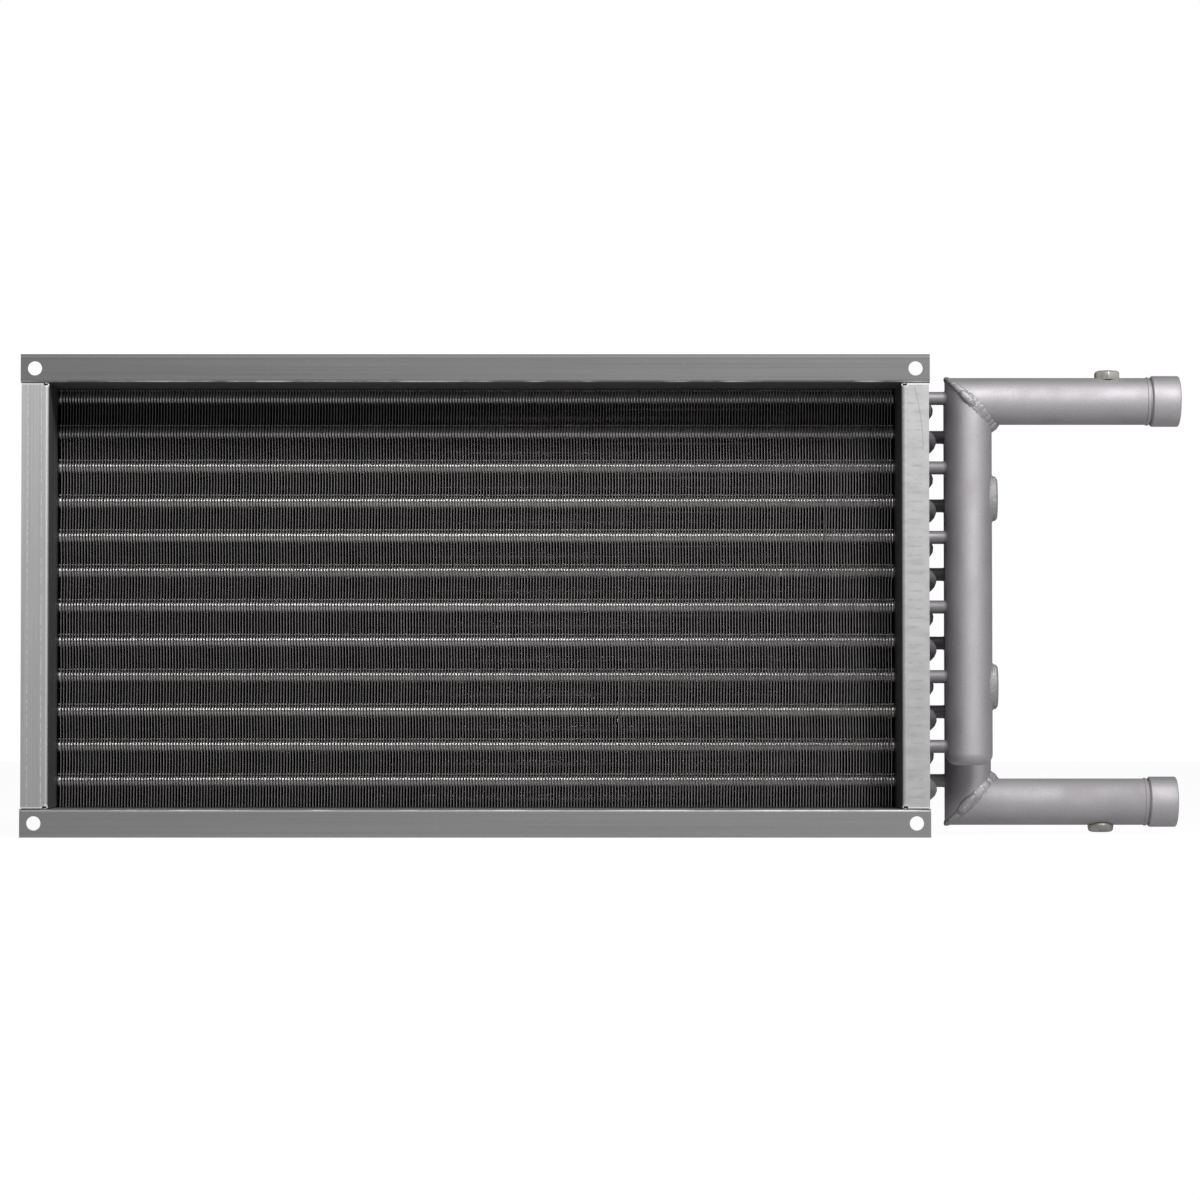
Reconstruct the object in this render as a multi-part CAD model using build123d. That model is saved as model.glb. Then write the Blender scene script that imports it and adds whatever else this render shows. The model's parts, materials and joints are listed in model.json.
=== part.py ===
from build123d import *
from math import cos, pi, radians, sin
import os

# Duct water heating coil: a plate-fin coil of three tube rows in a flanged sheet-metal casing.
# Millimetres. +X points to the headers, +Y along the air flow and +Z up.
# The origin is the centre of the front flange's face.

# Casing
duct_width = 600.0
duct_height = 300.0
casing_depth = 170.0
flange_width = 20.0
panel_sheet = 1.0
end_sheet = 1.5
fold_radius = 1.0
side_flange_inset = 0.7  # side flanges stop this far inside the ends of the top and bottom ones
side_flange_gap = 0.5  # between the end of a side flange and the panel above or below it
relief_length = 3.8  # notch at the corner where a side flange and a tab are both folded
relief_height = 2.0
tab_setback = 6.0  # from the flange face to the near end of a tab
bolt_hole_diameter = 10.0
bolt_hole_edge = 10.0  # hole centre to both edges of the flange corner

# Tubes
tube_diameter = 9.52
tube_pitch = 25.0
row_pitch = 21.65
tube_hole_clearance = 0.15
tube_sides = 8  # the many tubes and their bends are drawn with flat sides, this many round the tube
bend_steps = 6  # and this many along half a turn
hairpin_leg = 3.5  # straight tube between the left end sheet and the start of the bend
socket_length = 6.5  # straight tube outside the right end sheet, up to the joint
return_bend_leg = 6.2

# Fins, drawn as plain plates and fewer than the real coil's, which stand 2.1 mm apart
fin_pitch = 5.0
fin_sheet = 0.3
fin_end_gap = 2.5
fin_panel_gap = 0.5

# Headers and nozzles
header_diameter = 33.7
header_wall = 2.6
front_header_reach = 52.0  # outer face of the right end sheet to the header's axis
rear_header_reach = 55.5
stub_clearance = 0.1
stub_entry = 2.0  # how far a stub stands inside the header's bore
header_end_height = 7.8
header_end_rounding = 9.0  # how far the rounding of the closed end runs in from its rim
header_end_steps = 3
header_end_dish = 1.0  # fall of the closed end's floor from its edge to its middle
front_header_tail = 13.5  # lowest front stub to the tip of the header's closed end
rear_header_tail = 34.25
upper_nozzle_drop = 2.15  # top front stub to the nozzle's axis
lower_nozzle_drop = 15.35  # lowest rear stub to the nozzle's axis
nozzle_length = 151.0  # header's axis to the face of the thread cap
weld_width = 6.0
weld_height = 1.6

# Male thread, its run-out groove and the cap over it
thread_diameter = 33.25
groove_diameter = 31.4
groove_length = 1.6
cap_diameter = 36.5
cap_length = 20.0
cap_end_wall = 1.6
cap_clearance = 0.15
cap_edge = 0.8

# Vent and drain plugs
plug_thread_diameter = 13.2
plug_thread_length = 8.0
plug_clearance = 0.1
plug_washer_height = 1.2
spot_face_depth = 1.0  # flat cut into the top of the pipe for the plug to seat on
spot_face_margin = 1.0
vent_from_end = 51.15
vent_across_flats = 17.0
vent_head_height = 5.0
drain_from_end = 54.6
drain_diameter = 18.9
drain_tip_diameter = 17.6
drain_head_height = 4.9

# Welded blanks over the two spare ports of the front header
blank_height = 32.0
blank_width = 17.5
blank_crown = 3.6
blank_edge = 1.6
upper_blank_drop = 70.0  # nozzle's axis to the blank's centre
lower_blank_rise = 56.3  # tip of the closed end to the blank's centre

# Places that follow from the sizes above
circuits = int(duct_height // (2 * tube_pitch))
tubes_per_row = 2 * circuits
half_width = duct_width / 2
half_height = duct_height / 2
sheet_face = half_width + end_sheet
tube_radius = tube_diameter / 2
header_radius = header_diameter / 2
bore_radius = header_radius - header_wall
coil_middle = casing_depth / 2
front_row = coil_middle - row_pitch
middle_row = coil_middle
rear_row = coil_middle + row_pitch
top_front_tube = tube_pitch * (tubes_per_row - 1) / 2 + tube_pitch / 4
top_middle_tube = top_front_tube - tube_pitch / 2
joint_face = sheet_face + socket_length
front_header_x = sheet_face + front_header_reach
rear_header_x = sheet_face + rear_header_reach
circuit_pitch = 2 * tube_pitch
top_rear_stub = top_front_tube - tube_pitch
lowest_front_stub = top_front_tube - circuit_pitch * (circuits - 1)
lowest_rear_stub = top_rear_stub - circuit_pitch * (circuits - 1)
upper_nozzle_z = top_front_tube - upper_nozzle_drop
lower_nozzle_z = lowest_rear_stub - lower_nozzle_drop
front_header_tip = lowest_front_stub - front_header_tail
rear_header_tip = top_rear_stub + rear_header_tail
cap_bore_radius = thread_diameter / 2 + cap_clearance
plug_seat = header_radius - spot_face_depth
cut_margin = 1.0  # how far a cutting shape reaches past what it cuts


def folded_channel(depth, leg, sheet):
    """Section of a sheet folded to a channel: the web lies on the x axis and the legs point to +y."""
    outside = FilletPolyline((0, leg), (0, 0), (depth, 0), (depth, leg), radius=fold_radius + sheet)
    inside = FilletPolyline(
        (depth - sheet, leg), (depth - sheet, sheet), (sheet, sheet), (sheet, leg), radius=fold_radius
    )
    near_edge = Line((sheet, leg), (0, leg))
    far_edge = Line((depth, leg), (depth - sheet, leg))
    return make_face(outside.edges() + far_edge.edges() + inside.edges() + near_edge.edges())


def tube_section(radius):
    return RegularPolygon(radius, tube_sides, rotation=180 / tube_sides)


def tube_x(radius, x_from, x_to, y, z):
    start = Plane((x_from, y, z), x_dir=(0, 1, 0), z_dir=(1, 0, 0))
    return extrude(start * tube_section(radius), x_to - x_from)


def cylinder_x(radius, x_from, x_to, y, z):
    return extrude(Plane((x_from, y, z), z_dir=(1, 0, 0)) * Circle(radius), x_to - x_from)


def cylinder_z(radius, z_from, z_to, x, y):
    return extrude(Plane((x, y, z_from), z_dir=(0, 0, 1)) * Circle(radius), z_to - z_from)


def top_panel():
    section = Plane.YZ * folded_channel(casing_depth, flange_width, panel_sheet)
    panel = Pos(0, 0, half_height) * extrude(section, half_width + flange_width, both=True)
    hole_x = half_width + flange_width - bolt_hole_edge
    hole_z = half_height + flange_width - bolt_hole_edge
    drill = Pos(0, coil_middle, hole_z) * Rot(90, 0, 0) * Cylinder(bolt_hole_diameter / 2, 2 * casing_depth)
    for x in (-hole_x, hole_x):
        panel -= Pos(x, 0, 0) * drill
    return panel


def tube_places():
    """Every tube's (y, z), row by row from the front and from the top down."""
    rows = ((front_row, top_front_tube), (middle_row, top_middle_tube), (rear_row, top_front_tube))
    return [[(y, top - tube_pitch * i) for i in range(tubes_per_row)] for y, top in rows]


def right_end_sheet():
    """Tube sheet that closes the right side: flanges front and rear, and a tab under each panel."""
    leg = flange_width - side_flange_inset
    plan = Plane((half_width, 0, 0), x_dir=(0, 1, 0), z_dir=(0, 0, -1))
    section = plan * folded_channel(casing_depth, leg, end_sheet)
    sheet = extrude(section, half_height - side_flange_gap, both=True)
    # the web and its tabs reach the panels, and stop short of the flanges at both ends
    web_depth = casing_depth - 2 * tab_setback
    tab_plan = Plane((half_width, tab_setback, 0), x_dir=(0, 0, 1), z_dir=(0, 1, 0))
    tab_section = tab_plan * Pos(-half_height, 0) * folded_channel(duct_height, leg, end_sheet)
    sheet += extrude(tab_section, web_depth)
    relief = Box(relief_length, 2 * tab_setback, 2 * relief_height)
    for y in (0, casing_depth):
        for z in (-half_height, half_height):
            sheet -= Pos(half_width + relief_length / 2, y, z) * relief
    holes = [
        tube_x(tube_radius + tube_hole_clearance, half_width - cut_margin, sheet_face + cut_margin, y, z)
        for row in tube_places()
        for y, z in row
    ]
    return sheet - holes


def fin_pack():
    """Plain plates across all three rows. The tubes pass through them, held by their expansion."""
    span = duct_width - 2 * fin_end_gap
    count = int(span // fin_pitch) + 1
    plate = Box(fin_sheet, 3 * row_pitch, duct_height - 2 * fin_panel_gap)
    first = -fin_pitch * (count - 1) / 2
    return Compound([Pos(first + fin_pitch * i, coil_middle, 0) * plate for i in range(count)])


def bent_tube(start, end, leg, way):
    """Two legs along x and the half turn that joins them, which bulges towards way (+1 or -1) in x."""
    middle = (start + end) / 2
    hinge = (start - middle).normalized().cross(Vector(way, 0, 0))
    stations = []
    for step in range(bend_steps + 1):
        spoke = (start - middle).rotate(Axis((0, 0, 0), hinge), 180 * step / bend_steps)
        stations.append((middle + spoke, hinge.cross(spoke.normalized())))
    back = Vector(-way * leg, 0, 0)
    stations.insert(0, (start + back, stations[0][1]))
    stations.append((end + back, stations[-1][1]))
    corners = [radians(360 * (side + 0.5) / tube_sides) for side in range(tube_sides)]
    rings = []
    for centre, along in stations:
        plane = Plane(centre, x_dir=hinge, z_dir=along)
        section = [(tube_radius * cos(a), tube_radius * sin(a), 0) for a in corners]
        rings.append([plane.from_local_coords(point) for point in section])
    faces = [Face(Wire.make_polygon(rings[0][::-1])), Face(Wire.make_polygon(rings[-1]))]
    for near, far in zip(rings, rings[1:]):
        for i in range(tube_sides):
            faces.append(Face(Wire.make_polygon([near[i - 1], near[i], far[i], far[i - 1]])))
    return Solid(Shell(faces))


def hairpin(upper, lower):
    """One tube bent double: both legs run from the right-hand joints to the bend at the left."""
    bend_x = -sheet_face - hairpin_leg
    return bent_tube(Vector(bend_x, *upper), Vector(bend_x, *lower), joint_face - bend_x, -1)


def hairpin_row(places):
    return Compound([hairpin(places[i], places[i + 1]) for i in range(0, tubes_per_row, 2)])


def return_bends(pairs):
    """Short bends that join a tube of one row to a tube of the next at the right-hand side."""
    bend_x = joint_face + return_bend_leg
    return Compound([bent_tube(Vector(bend_x, *a), Vector(bend_x, *b), return_bend_leg, 1) for a, b in pairs])


def stubs(y, top, header_x):
    """Straight feeds from the tube joints into one header's bore."""
    end = header_x - bore_radius + stub_entry
    places = [top - circuit_pitch * i for i in range(circuits)]
    return Compound([tube_x(tube_radius, joint_face, end, y, z) for z in places])


def mitre(x, y, z, rise):
    """Plane of a mitred corner: its normal points to the nozzle's side. rise is +1 above, -1 below."""
    return Plane((x, y, z), x_dir=(0, 1, 0), z_dir=(1, 0, rise))


def header(x, y, tip, nozzle_z, top_stub):
    """Vertical pipe from its welded end to the mitred corner, with a hole for each stub."""
    rise = 1 if nozzle_z > tip else -1
    base = tip + rise * header_end_height
    far = nozzle_z + rise * header_diameter
    ends = sorted((base, far))
    pipe = cylinder_z(header_radius, *ends, x, y) - cylinder_z(bore_radius, *ends, x, y)
    for i in range(circuits):
        z = top_stub - circuit_pitch * i
        pipe -= tube_x(tube_radius + stub_clearance, x - header_diameter, x, y, z)
    return split(pipe, mitre(x, y, nozzle_z, rise), keep=Keep.BOTTOM)


def header_end(x, y, tip, rise):
    """Dished end of a header, with its tip towards -rise in z and its rounding drawn in a few steps."""
    rounding = []
    for step in range(header_end_steps + 1):
        turn = pi / 2 * step / header_end_steps
        inward = header_end_rounding * (1 - sin(turn))
        rounding.append((header_radius - inward, header_end_height * (1 - cos(turn))))
    floor_edge = header_wall + header_end_dish
    inside = [(bore_radius, header_end_height), (bore_radius, floor_edge), (0, header_wall)]
    profile = make_face(Polyline((0, 0), *rounding, *inside, close=True))
    dish = revolve(Plane.XZ * profile, Axis.Z)
    if rise < 0:
        dish = mirror(dish, Plane.XY)
    return Pos(x, y, tip) * dish


def nozzle(x, y, z, rise, plug_from_end):
    """Pipe from the mitred corner to its threaded end, with a hole for the vent or drain plug."""
    face = x + nozzle_length
    pipe_end = face - cap_end_wall
    thread_start = face - cap_length - groove_length
    pipe = cylinder_x(header_radius, x - header_diameter, thread_start, y, z)
    pipe += cylinder_x(groove_diameter / 2, thread_start, thread_start + groove_length, y, z)
    pipe += cylinder_x(thread_diameter / 2, thread_start + groove_length, pipe_end, y, z)
    pipe -= cylinder_x(bore_radius, x - header_diameter, pipe_end, y, z)
    plug_x = face - plug_from_end
    hole = cylinder_z(plug_thread_diameter / 2 + plug_clearance, 0, header_diameter, 0, 0)
    seat = cylinder_z(drain_diameter / 2 + spot_face_margin, plug_seat, header_diameter, 0, 0)
    tool = hole + seat
    if rise < 0:
        tool = mirror(tool, Plane.XY)
    pipe -= Pos(plug_x, y, z) * tool
    return split(pipe, mitre(x, y, z, rise), keep=Keep.TOP)


def mitre_weld(x, y, z, rise):
    """Raised weld band round a mitred corner."""
    reach = 2 * header_diameter
    low, high = sorted((z, z - rise * reach))
    arms = []
    for radius in (header_radius + weld_height, header_radius):
        upright = cylinder_z(radius, low - header_diameter, high + header_diameter, x, y)
        level = cylinder_x(radius, x - header_diameter, x + reach, y, z)
        corner = mitre(x, y, z, rise)
        half = split(upright, corner, keep=Keep.BOTTOM)
        other = split(level, corner, keep=Keep.TOP)
        arms.append((half, other))
    slab = mitre(x, y, z, rise) * Box(4 * header_diameter, 4 * header_diameter, weld_width)
    band = (arms[0][0] + arms[0][1]) & slab
    return band - arms[1][0] - arms[1][1]


def thread_cap(x, y, z):
    """Thin push-on cap that covers a nozzle's male thread."""
    face = x + nozzle_length
    cup = cylinder_x(cap_diameter / 2, face - cap_length, face, y, z)
    cup = chamfer(cup.edges().group_by(Axis.X)[-1], cap_edge)
    return cup - cylinder_x(cap_bore_radius, face - cap_length, face - cap_end_wall, y, z)


def plug_shank():
    return cylinder_z(plug_thread_diameter / 2, plug_seat - plug_thread_length, plug_seat, 0, 0)


def vent_plug():
    """Hexagon plug in the top of the upper nozzle."""
    head = extrude(RegularPolygon(vent_across_flats / 2, 6, major_radius=False), vent_head_height)
    washer = cylinder_z(vent_across_flats / 2, plug_seat, plug_seat + plug_washer_height, 0, 0)
    plug = plug_shank() + washer + Pos(0, 0, plug_seat + plug_washer_height) * head
    x = front_header_x + nozzle_length - vent_from_end
    return Pos(x, front_row, upper_nozzle_z) * plug


def drain_plug():
    """Round plug in the underside of the lower nozzle."""
    base = Plane.XY.offset(plug_seat) * Circle(drain_diameter / 2)
    tip_height = plug_seat + drain_head_height + plug_washer_height
    tip = Plane.XY.offset(tip_height) * Circle(drain_tip_diameter / 2)
    plug = plug_shank() + loft([base.face(), tip.face()])
    x = rear_header_x + nozzle_length - drain_from_end
    return Pos(x, rear_row, lower_nozzle_z) * mirror(plug, Plane.XY)


def port_blank(z):
    """Oval plate welded to the outer side of the front header."""
    outline = Plane((front_header_x, front_row, z), x_dir=(0, 1, 0), z_dir=(1, 0, 0))
    plate = extrude(outline * Ellipse(blank_width / 2, blank_height / 2), header_radius + blank_crown)
    plate = chamfer(plate.edges().group_by(Axis.X)[-1], blank_edge)
    length = 2 * blank_height
    return plate - cylinder_z(header_radius, z - length, z + length, front_header_x, front_row)


def build():
    front, middle, rear = tube_places()
    front_to_middle = [(front[i], middle[i]) for i in range(1, tubes_per_row, 2)]
    middle_to_rear = [(middle[i], rear[i]) for i in range(0, tubes_per_row, 2)]
    upper_corner = front_header_x, front_row, upper_nozzle_z
    lower_corner = rear_header_x, rear_row, lower_nozzle_z
    top = top_panel()
    right = right_end_sheet()
    return {
        "top_panel": top,
        "bottom_panel": mirror(top, Plane.XY),
        "right_end_sheet": right,
        "left_end_sheet": mirror(right, Plane.YZ),
        "fin_pack": fin_pack(),
        "hairpins_front_row": hairpin_row(front),
        "hairpins_middle_row": hairpin_row(middle),
        "hairpins_rear_row": hairpin_row(rear),
        "return_bends_front": return_bends(front_to_middle),
        "return_bends_rear": return_bends(middle_to_rear),
        "stubs_front": stubs(front_row, top_front_tube, front_header_x),
        "stubs_rear": stubs(rear_row, top_rear_stub, rear_header_x),
        "front_header": header(front_header_x, front_row, front_header_tip, upper_nozzle_z, top_front_tube),
        "rear_header": header(rear_header_x, rear_row, rear_header_tip, lower_nozzle_z, top_rear_stub),
        "front_header_end": header_end(front_header_x, front_row, front_header_tip, 1),
        "rear_header_end": header_end(rear_header_x, rear_row, rear_header_tip, -1),
        "upper_nozzle": nozzle(*upper_corner, 1, vent_from_end),
        "lower_nozzle": nozzle(*lower_corner, -1, drain_from_end),
        "upper_corner_weld": mitre_weld(*upper_corner, 1),
        "lower_corner_weld": mitre_weld(*lower_corner, -1),
        "upper_thread_cap": thread_cap(*upper_corner),
        "lower_thread_cap": thread_cap(*lower_corner),
        "vent_plug": vent_plug(),
        "drain_plug": drain_plug(),
        "upper_port_blank": port_blank(upper_nozzle_z - upper_blank_drop),
        "lower_port_blank": port_blank(front_header_tip + lower_blank_rise),
    }


os.makedirs("parts", exist_ok=True)
for name, shape in build().items():
    export_step(shape, f"parts/{name}.step")
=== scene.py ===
import json
import math
import random

import bmesh
import bpy
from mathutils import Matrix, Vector

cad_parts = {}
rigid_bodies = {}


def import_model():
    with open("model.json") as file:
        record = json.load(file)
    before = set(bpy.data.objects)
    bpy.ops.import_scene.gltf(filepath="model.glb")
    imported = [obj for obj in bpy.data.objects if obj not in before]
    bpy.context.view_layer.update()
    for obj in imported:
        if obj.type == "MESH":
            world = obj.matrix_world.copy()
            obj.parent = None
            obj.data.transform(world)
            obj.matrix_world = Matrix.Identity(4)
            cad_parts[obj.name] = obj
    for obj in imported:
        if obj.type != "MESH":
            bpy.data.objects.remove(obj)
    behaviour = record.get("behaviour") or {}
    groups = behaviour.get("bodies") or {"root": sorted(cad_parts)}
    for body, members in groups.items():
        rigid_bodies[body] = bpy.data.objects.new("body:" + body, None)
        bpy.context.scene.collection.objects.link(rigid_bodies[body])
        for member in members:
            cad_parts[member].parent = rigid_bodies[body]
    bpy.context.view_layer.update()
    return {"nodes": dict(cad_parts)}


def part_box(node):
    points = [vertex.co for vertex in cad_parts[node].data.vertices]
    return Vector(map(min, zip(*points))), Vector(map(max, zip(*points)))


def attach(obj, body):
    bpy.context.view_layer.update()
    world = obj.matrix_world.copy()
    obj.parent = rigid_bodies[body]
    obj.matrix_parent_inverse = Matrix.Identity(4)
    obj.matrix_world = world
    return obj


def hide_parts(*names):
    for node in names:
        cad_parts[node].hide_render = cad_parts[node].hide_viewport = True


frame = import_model()
print("frame loaded,", len(frame["nodes"]), "CAD nodes")

mm = 0.001
mergeWithin = 0.002 * mm
random.seed(27)

# places shared with the CAD, in millimetres
bank = {
    "rows": (("front", 63.35, 143.75), ("middle", 85.0, 131.25), ("rear", 106.65, 143.75)),  # depth, top tube
    "pitch": 25.0, "perRow": 12, "tubeRadius": 4.76, "sheetFace": 301.5,
    "jointFace": 308.0, "bendCentre": 314.2, "hairpinCentre": -304.6, "bendRadius": 12.5,
    "bell": 5.5, "bellLength": 4.2, "overlap": 3.2,  # the sockets of bends and stubs, over the tube ends
}
pipe = {
    "radius": 16.85, "frontX": 353.5, "rearX": 357.0, "upperZ": 141.6, "lowerZ": -146.6,
    "frontY": 63.35, "rearY": 106.65, "frontTip": -119.75, "rearTip": 153.0,
    "endHeight": 7.8, "endRounding": 9.0, "endSteps": 8, "upperFace": 504.5, "lowerFace": 508.0, "sides": 64,
}


# modelling helpers, each a step of a hand at work in edit mode

def metres(point):
    return [value * mm for value in point]


def clearSelection():
    if bpy.context.object and bpy.context.object.mode == "EDIT":
        bpy.ops.object.mode_set(mode="OBJECT")
    bpy.ops.object.select_all(action="DESELECT")


def openPiece(piece):
    clearSelection()
    piece.select_set(True)
    bpy.context.view_layer.objects.active = piece
    bpy.ops.object.mode_set(mode="EDIT")


def addRing(radius, place, facing, sides):
    # one filled circle, in the mesh that is open if there is one
    turn = Vector((0, 0, 1)).rotation_difference(Vector(facing)).to_euler()
    bpy.ops.mesh.primitive_circle_add(
        vertices=sides, radius=radius * mm, fill_type="NGON", location=metres(place), rotation=turn)


def startRing(name, radius, place, facing, sides):
    # a filled circle at its place, left open in edit mode with its face picked
    clearSelection()
    addRing(radius, place, facing, sides)
    piece = bpy.context.object
    piece.name = name
    bpy.ops.object.transform_apply(location=True, rotation=True, scale=True)
    bpy.ops.object.mode_set(mode="EDIT")
    bpy.ops.mesh.select_all(action="SELECT")
    return piece


def ringOn(piece, name, radius, place, facing, sides):
    # another filled circle in the open piece, or the first one of a new piece
    if piece is None:
        return startRing(name, radius, place, facing, sides)
    bpy.ops.mesh.select_all(action="DESELECT")
    addRing(radius, place, facing, sides)
    return piece


def pull(*step):
    bpy.ops.mesh.extrude_region_move(TRANSFORM_OT_translate={"value": metres(step)})


def spinAbout(centre, axis, degrees, steps):
    bpy.ops.mesh.spin(steps=steps, angle=math.radians(degrees), center=metres(centre), axis=axis)


def turnProfile(start, facing, profile):
    # pulls the picked face along an axis and sizes it at each step, as on a lathe
    # the profile holds pairs of distance from the start and radius
    direction = Vector(facing)
    place = Vector(start)
    lastDistance, lastRadius = profile[0]
    for distance, radius in profile[1:]:
        pull(*(direction * (distance - lastDistance)))
        if radius != lastRadius:
            centre = metres(place + direction * distance)
            bpy.ops.transform.resize(value=(radius / lastRadius,) * 3, center_override=centre)
        lastDistance, lastRadius = distance, radius


def pickWhere(piece, kind, test):
    # picks corners or faces by their place, in millimetres, and for a face its normal too
    bpy.ops.mesh.select_all(action="DESELECT")
    mesh = bmesh.from_edit_mesh(piece.data)
    if kind == "corners":
        for corner in mesh.verts:
            corner.select = test(corner.co / mm)
    else:
        for face in mesh.faces:
            face.select = test(face.calc_center_median() / mm, face.normal)
    mesh.select_flush_mode()
    bmesh.update_edit_mesh(piece.data)


def copyAlong(step, times):
    # copies all that joins what is picked, again and again
    bpy.ops.mesh.select_linked()
    for _ in range(times):
        bpy.ops.mesh.duplicate_move(TRANSFORM_OT_translate={"value": metres(step)})


def finishPiece(piece, material, stands=(), smooth=40):
    openPiece(piece)
    bpy.ops.mesh.select_all(action="SELECT")
    bpy.ops.mesh.remove_doubles(threshold=mergeWithin)
    bpy.ops.mesh.normals_make_consistent(inside=False)
    bpy.ops.object.mode_set(mode="OBJECT")
    bpy.ops.object.transform_apply(location=True, rotation=True, scale=True)
    bpy.ops.object.shade_smooth_by_angle(angle=math.radians(smooth))
    if material:
        piece.data.materials.clear()
        piece.data.materials.append(material)
    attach(piece, "root")
    if stands:
        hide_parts(*stands)


# shader helpers

class Sock:
    # one socket, on which Python arithmetic adds Math nodes
    def __init__(self, paint, socket):
        self.paint = paint
        self.socket = socket

    def maths(self, operation, *others):
        return self.paint.node("ShaderNodeMath", {"operation": operation}, dict(enumerate((self, *others))))

    def __add__(self, other):
        return self.maths("ADD", other)

    def __sub__(self, other):
        return self.maths("SUBTRACT", other)

    def __rsub__(self, other):
        return self.paint.node("ShaderNodeMath", {"operation": "SUBTRACT"}, {0: other, 1: self})

    def __mul__(self, other):
        return self.maths("MULTIPLY", other)

    def __truediv__(self, other):
        return self.maths("DIVIDE", other)

    def __mod__(self, other):
        return self.maths("FLOORED_MODULO", other)

    def __abs__(self):
        return self.maths("ABSOLUTE")

    def __gt__(self, other):
        return self.maths("GREATER_THAN", other)

    def __lt__(self, other):
        return self.maths("LESS_THAN", other)

    __radd__ = __add__
    __rmul__ = __mul__


class Paint:
    def __init__(self, tree, shader):
        self.tree = tree
        self.shader = shader

    def node(self, kind, settings=None, values=None, out=0):
        made = self.tree.nodes.new(kind)
        for setting, value in (settings or {}).items():
            setattr(made, setting, value)
        for key, value in (values or {}).items():
            socket = made.inputs[key]
            if isinstance(value, Sock):
                self.tree.links.new(value.socket, socket)
            else:
                socket.default_value = value
        return Sock(self, made.outputs[out])

    def here(self):
        return self.node("ShaderNodeTexCoord", out="Object")

    def axis(self, letter):
        # one coordinate in millimetres
        return self.node("ShaderNodeSeparateXYZ", None, {0: self.here()}, out=letter) / mm

    def noise(self, size, detail=2.0, stretch=(1, 1, 1), roughness=0.5):
        spot = self.node("ShaderNodeMapping", {"vector_type": "POINT"},
                         {"Vector": self.here(), "Scale": stretch})
        return self.node("ShaderNodeTexNoise", {"noise_dimensions": "3D"},
                         {"Vector": spot, "Scale": size, "Detail": detail, "Roughness": roughness})

    def ramp(self, factor, low, high, start=0.0, end=1.0):
        return self.node("ShaderNodeMapRange", {"clamp": True},
                         {"Value": factor, "From Min": low, "From Max": high, "To Min": start, "To Max": end})

    def mix(self, factor, first, second):
        return self.node("ShaderNodeMix", {"data_type": "RGBA"}, {0: factor, 6: first, 7: second}, out=2)

    def feed(self, socketName, value):
        self.tree.links.new(value.socket, self.shader.inputs[socketName])

    def bump(self, height, strength, distance):
        self.feed("Normal", self.node(
            "ShaderNodeBump", None, {"Height": height, "Strength": strength, "Distance": distance * mm}))


def newPaint(name, **constants):
    material = bpy.data.materials.new(name)
    material.use_nodes = True
    shader = material.node_tree.nodes["Principled BSDF"]
    for socketName, value in constants.items():
        shader.inputs[socketName].default_value = value
    return material, Paint(material.node_tree, shader)


def within(value, band):
    # 1 inside the band, 0 outside it
    low, high = band
    return (value > low) * (value < high)


def grey(level, red=0.0, blue=0.0):
    # an sRGB level from 0 to 255 as a linear colour, with a little more or less red and blue
    def linear(value):
        value = value / 255
        return value / 12.92 if value <= 0.04045 else ((value + 0.055) / 1.055) ** 2.4
    return (linear(level + red), linear(level), linear(level + blue), 1.0)


# casing: the CAD sheets stay, with their own finishes and with painted highlights and shade

casing = {
    # one zinc on all four sheets: the levels of the panels and of the left and right sheets differ as painted
    # light, each set to how brightly that sheet catches the lamps; the inside and outside levels are painted
    # shade
    "panelLevel": 134, "leftLevel": 206, "rightLevel": 197, "insideShadeLevel": 92, "outsideShadeLevel": 112,
    "depth": 170.0,
    # panels: height of a flange's outer edge, and lines of painted highlight and shade at distances in from
    # that edge
    "flangeEdge": 170.0, "paleLine": (1.0, 2.4), "darkLine": (2.6, 3.5), "foldHighlight": (18.7, 19.7),
    # end sheets: the front flange's reach in depth, the sheet's two faces, and the places of painted
    # highlights and shade
    "flangeBack": 1.6, "halfHeight": 150.0, "innerFace": 300.7, "outerFace": 301.2,
    "fold": (301.7, 300.9), "foldBack": 0.7, "cutEnd": (148.2, 149.0),
    "notch": {"x": 302.2, "z": 148.5, "halfWide": 1.9, "halfHigh": 1.2, "rim": 2.6, "fade": (301.3, 302.2)},
    # left flange: the lines of the folding rolls
    "rollLines": (-314.9, -305.1), "rollLineHalf": 0.45,
    # right flange: rows of smears, pin pricks by the fold, and one bowed hairline scratch
    "smearPitch": 6.3, "smears": (304.0, 315.0), "pricks": (302.4, 304.4),
    "hairline": {"x": 308.8, "reach": 6.3, "top": 148.0, "fall": 46.0, "half": 0.3},
}


def zincGround(name, level, stretch, spread, metallic=0.75):
    # rolled zinc: streaks along the axis in which the pattern is stretched, faint clouds and pale specks
    material, paint = newPaint(name, Metallic=metallic)
    drawn = paint.noise(1.0, 4.0, stretch, 0.6)
    cloudy = paint.noise(14.0, 3.0)
    speck = paint.noise(420.0, 2.0)
    colour = paint.mix(paint.ramp(drawn, 0.32, 0.68), grey(level - spread), grey(level + spread, 1))
    colour = paint.mix(paint.ramp(cloudy, 0.35, 0.7, 0.0, 0.5), colour, grey(level - 6, 0, 1))
    colour = paint.mix(paint.ramp(speck, 0.64, 0.8, 0.0, 0.35), colour, grey(min(level + 40, 250)))
    paint.feed("Roughness", paint.ramp(drawn + speck * 0.3, 0.4, 0.9, 0.44, 0.64))
    paint.bump(drawn + speck * 0.4, 0.25, 0.1)
    return material, paint, colour


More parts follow.
